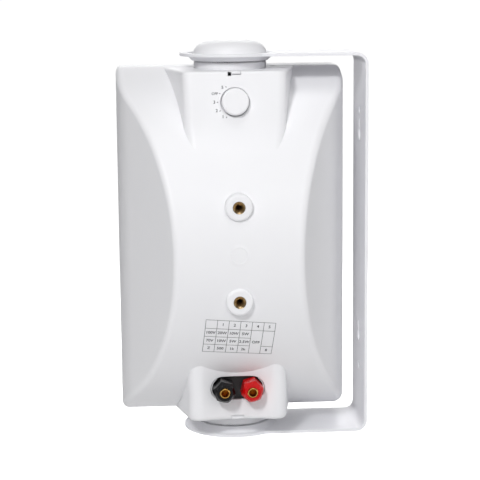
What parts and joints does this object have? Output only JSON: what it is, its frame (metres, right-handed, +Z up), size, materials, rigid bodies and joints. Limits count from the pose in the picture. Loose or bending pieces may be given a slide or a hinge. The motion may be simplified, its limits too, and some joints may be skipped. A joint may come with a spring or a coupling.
{
  "type": "wall speaker",
  "caption": "Two-way wall speaker: barrel-backed white cabinet with binding posts and tap selector, turning between the eyes of a U-shaped steel wall bracket.",
  "frame": {"origin": "centre of the bracket's wall face", "axes": "+X into the wall, +Z up, so the cabinet's back looks along -Y at rest"},
  "size_m": [0.1725, 0.1266, 0.2791],
  "materials": {
    "white_steel": "fine white powder coat",
    "white_plastic": "fine moulded texture",
    "white_grille": "perforated sheet, white powder coat",
    "zinc_steel": "zinc plated",
    "brass": "turned",
    "gilt_brass": "turned and plated",
    "black_plastic": "moulded",
    "black_cap": "smooth",
    "red_cap": "smooth",
    "black_foam": "closed-cell foam",
    "black_rubber": "butyl roll",
    "black_steel": "black paint",
    "ferrite": "ground ferrite",
    "paper_cone": "pressed pulp",
    "cloth": "resin-dipped cloth",
    "copper": "enamelled copper wire",
    "lamination": "stacked electrical steel",
    "board": "coated fibre board",
    "film": "wrapped film",
    "cement": "cast cement"
  },
  "bodies": {
    "bracket": {"wall_bracket": "white_steel", "pivot_cap": "white_plastic"},
    "cabinet": {"rear_shell": "white_plastic", "front_baffle": "white_plastic", "baffle_gasket": "black_foam", "front_grille": "white_grille", "baffle_screws": "zinc_steel", "upper_collar": "white_plastic", "upper_washer": "zinc_steel", "upper_pivot_bolt": "zinc_steel", "upper_pivot_nut": "zinc_steel", "lower_collar": "white_plastic", "lower_washer": "zinc_steel", "lower_pivot_bolt": "zinc_steel", "lower_pivot_nut": "zinc_steel", "upper_insert": "brass", "lower_insert": "brass", "terminal_plate": "black_plastic", "post_nuts": "brass", "black_post": "gilt_brass", "red_post": "gilt_brass", "switch_body": "black_plastic", "switch_nut": "zinc_steel", "woofer_basket": "black_steel", "woofer_top_plate": "zinc_steel", "woofer_magnet": "ferrite", "woofer_yoke": "zinc_steel", "woofer_surround": "black_rubber", "woofer_spider": "cloth", "woofer_gasket": "black_foam", "woofer_screws": "zinc_steel", "tweeter_faceplate": "black_plastic", "tweeter_diaphragm": "cloth", "tweeter_motor": "ferrite", "tweeter_screws": "zinc_steel", "transformer_core": "lamination", "transformer_winding": "copper", "transformer_feet": "zinc_steel", "transformer_screws": "zinc_steel", "crossover_board": "board", "board_screws": "zinc_steel", "crossover_coil": "copper", "crossover_capacitors": "film", "crossover_resistor": "cement"},
    "selector": {"selector_knob": "white_plastic", "switch_shaft": "zinc_steel"},
    "black_sleeve": {"black_cap_sleeve": "gilt_brass"},
    "black_grip": {"black_cap": "black_cap"},
    "red_sleeve": {"red_cap_sleeve": "gilt_brass"},
    "red_grip": {"red_cap": "red_cap"},
    "cone": {"woofer_cone": "paper_cone", "dust_cap": "paper_cone", "voice_coil": "copper"}
  },
  "joints": [
    {"name": "cabinet_swivel", "type": "hinge", "parent": "bracket", "child": "cabinet", "pos_m": [-0.093, 0, 0], "axis": [0, 0, 1], "range_deg": [-10, 190]},
    {"name": "selector_turn", "type": "hinge", "parent": "cabinet", "child": "selector", "pos_m": [-0.093, -0.0467, 0.1024], "axis": [0, -0.9877, 0.1564], "range_deg": [-60, 60]},
    {"name": "cone_travel", "type": "slide", "parent": "cabinet", "child": "cone", "axis": [0, 1, 0], "range_m": [-0.0025, 0.0025], "stiffness_N_per_m": 1400, "deforming": ["woofer_surround", "woofer_spider"]},
    {"name": "black_sleeve_travel", "type": "slide", "parent": "cabinet", "child": "black_sleeve", "axis": [0, -1, 0], "range_m": [0, 0.004]},
    {"name": "black_cap_turn", "type": "hinge", "parent": "black_sleeve", "child": "black_grip", "pos_m": [-0.10253, -0.06013, -0.095], "axis": [0, -1, 0], "range_deg": [0, 1440]},
    {"name": "red_sleeve_travel", "type": "slide", "parent": "cabinet", "child": "red_sleeve", "axis": [0, -1, 0], "range_m": [0, 0.004]},
    {"name": "red_cap_turn", "type": "hinge", "parent": "red_sleeve", "child": "red_grip", "pos_m": [-0.08347, -0.06013, -0.095], "axis": [0, -1, 0], "range_deg": [0, 1440]}
  ],
  "couplings": [
    {"joint": "black_cap_turn", "follows": "black_sleeve_travel", "rad_per_m": 6283.2},
    {"joint": "red_cap_turn", "follows": "red_sleeve_travel", "rad_per_m": 6283.2}
  ]
}
